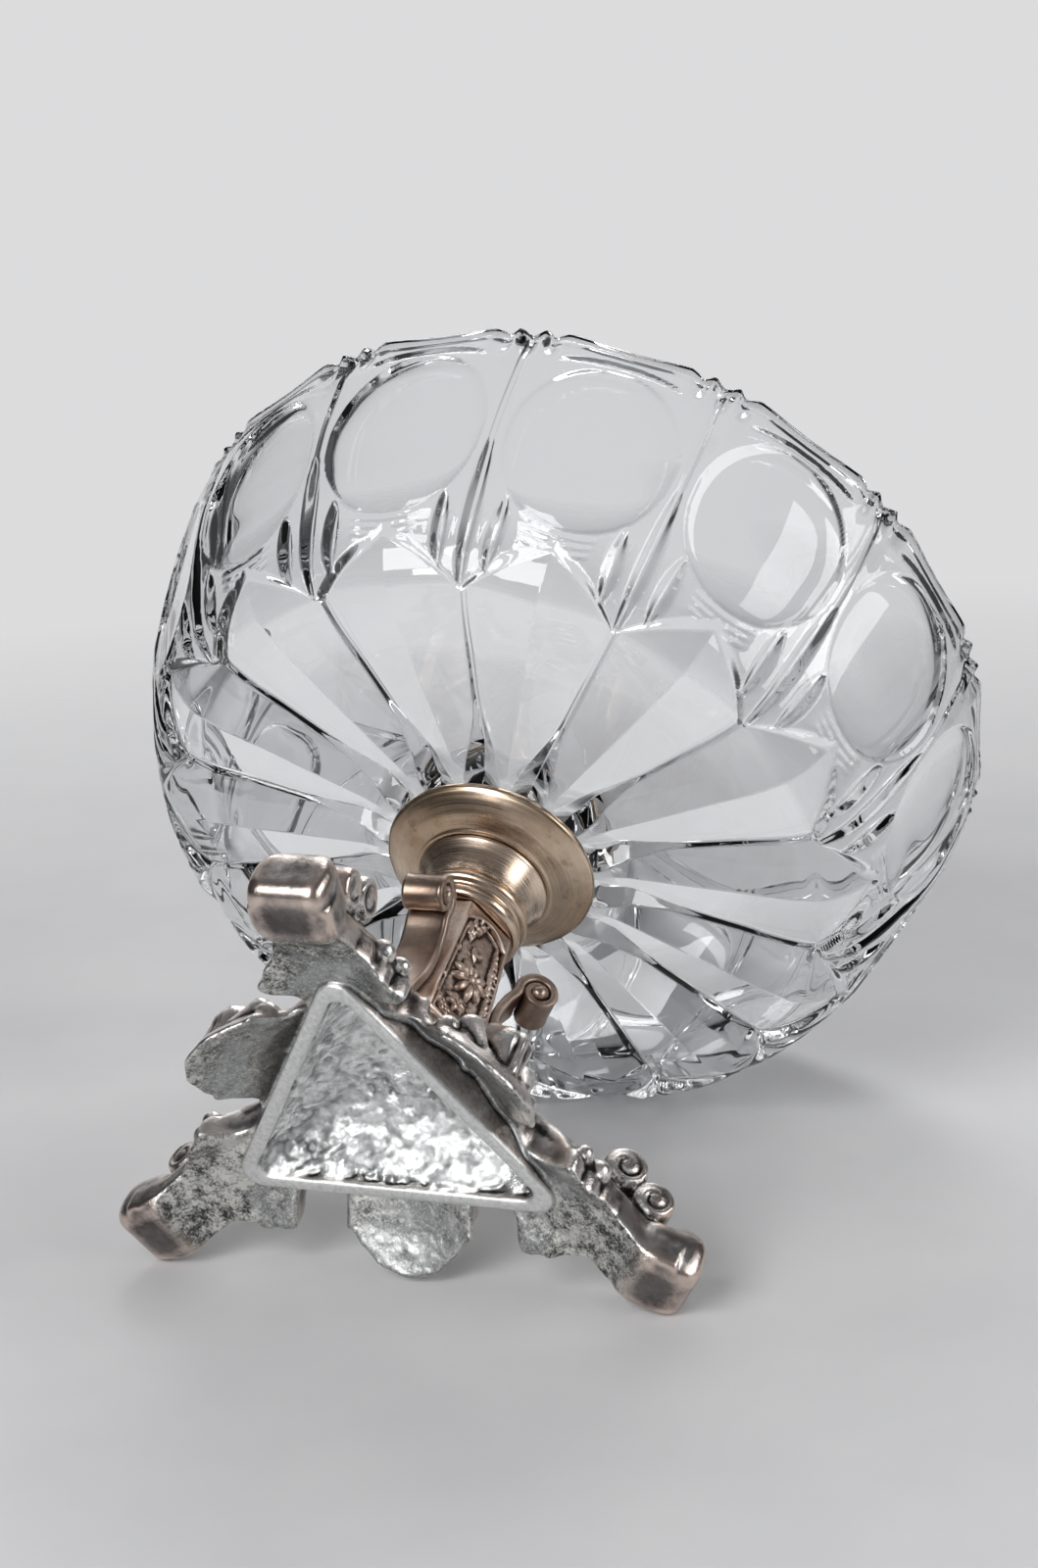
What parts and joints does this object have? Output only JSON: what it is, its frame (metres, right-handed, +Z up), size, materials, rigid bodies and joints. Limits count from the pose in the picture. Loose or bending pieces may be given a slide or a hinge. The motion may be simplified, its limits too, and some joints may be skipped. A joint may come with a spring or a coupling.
{
  "type": "footed fruit bowl",
  "caption": "Deep cut-glass fruit bowl on a spun metal collar, a three-sided stem with flower panels and scroll straps, and a cast foot with scroll legs and shell lobes.",
  "frame": {"origin": "on the surface the foot stands on, under the middle of the bowl", "axes": "+Z up along the axis of the bowl and stem; one leg points along -Y and one shell lobe along +Y"},
  "size_m": [0.2186, 0.22, 0.1725],
  "materials": {
    "cut_glass": "clear, cut and polished",
    "plaster": "matte, hidden bedding",
    "collar_plate": "lathe-brushed worn plate",
    "neck_plate": "lathe-brushed worn plate",
    "stem_plate": "worn plate with dark recesses",
    "strap_plate": "brushed, browned",
    "foot_plate": "cast, worn plate, rough underneath"
  },
  "bodies": {
    "root": {"glass_bowl": "cut_glass", "bowl_cement": "plaster", "collar_dish": "collar_plate", "neck_ring": "neck_plate", "stem_body": "stem_plate", "scroll_strap_1": "strap_plate", "scroll_strap_2": "strap_plate", "scroll_strap_3": "strap_plate", "foot_casting": "foot_plate"}
  },
  "joints": []
}
